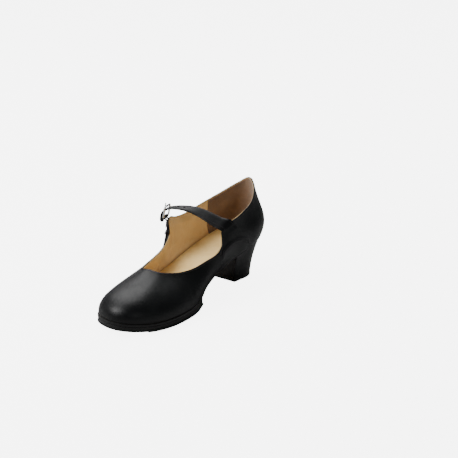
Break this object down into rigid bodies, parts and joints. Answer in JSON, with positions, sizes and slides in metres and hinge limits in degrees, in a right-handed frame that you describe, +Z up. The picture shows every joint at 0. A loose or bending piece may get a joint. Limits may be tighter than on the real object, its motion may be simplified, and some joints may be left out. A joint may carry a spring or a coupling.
{
  "type": "flamenco dance shoe",
  "caption": "Right-foot heeled dance shoe for percussive footwork, with hammered nail fields at toe and heel, an instep strap and a pin buckle.",
  "frame": {"origin": "centre of the shoe's plan, on the ground the shoe stands on", "axes": "+Y from toe to heel, +X to the inner (medial) side of the foot, +Z up"},
  "size_m": [0.0868, 0.2502, 0.1043],
  "materials": {
    "black_leather": "smooth black calf with a satin polish",
    "black_edge_leather": "stacked leather with a black inked and waxed edge",
    "lining_leather": "undyed natural lining leather, matt",
    "suede": "brown suede, napped",
    "fibre_board": "pressed leather-fibre board",
    "cork": "granulated cork",
    "steel": "plain mild steel",
    "waist_leather": "natural vegetable-tanned sole leather, smooth",
    "sole_rubber": "amber crepe-style rubber with fine cross ripples",
    "tan_leather": "natural vegetable-tanned leather, sanded",
    "nail_steel": "nickel-plated steel nail heads, hammered and lightly scuffed",
    "heel_wood": "turned beech",
    "breast_leather": "dark brown stained leather",
    "nickel_plate": "nickel-plated steel wire, polished"
  },
  "bodies": {
    "shoe": {"vamp": "black_leather", "quarter_medial": "black_leather", "quarter_lateral": "black_leather", "back_strip": "black_leather", "vamp_lining": "lining_leather", "quarter_lining_medial": "lining_leather", "quarter_lining_lateral": "lining_leather", "heel_grip": "suede", "toe_puff": "fibre_board", "heel_counter": "fibre_board", "insole_sock": "lining_leather", "insole_board": "fibre_board", "cork_filler": "cork", "shank": "steel", "outsole": "waist_leather", "platform": "black_edge_leather", "half_sole": "sole_rubber", "toe_piece": "tan_leather", "toe_nails": "nail_steel", "heel_block": "heel_wood", "heel_cover": "black_leather", "heel_breast": "breast_leather", "top_lift": "tan_leather", "heel_nails": "nail_steel", "heel_screw": "steel", "seat_nail_1": "steel", "seat_nail_2": "steel", "seat_nail_3": "steel", "seat_nail_4": "steel", "buckle_tab": "black_leather"},
    "strap": {"strap": "black_leather", "strap_tip": "black_leather"},
    "buckle_ring": {"buckle_ring": "nickel_plate"},
    "buckle_prong": {"buckle_prong": "nickel_plate"}
  },
  "joints": [
    {"name": "strap_open", "type": "hinge", "parent": "shoe", "child": "strap", "pos_m": [0.02485, 0.03882, 0.076], "axis": [0.0501, 0.9012, 0.4306], "range_deg": [0, 110], "deforming": ["strap_tip"]},
    {"name": "ring_swing", "type": "hinge", "parent": "shoe", "child": "buckle_ring", "pos_m": [-0.03746, 0.01896, 0.077], "axis": [0.301, -0.9532, 0.0301], "range_deg": [0, 50]},
    {"name": "prong_swing", "type": "hinge", "parent": "buckle_ring", "child": "buckle_prong", "pos_m": [-0.03746, 0.01896, 0.077], "axis": [0.301, -0.9532, 0.0301], "range_deg": [0, 75]}
  ]
}
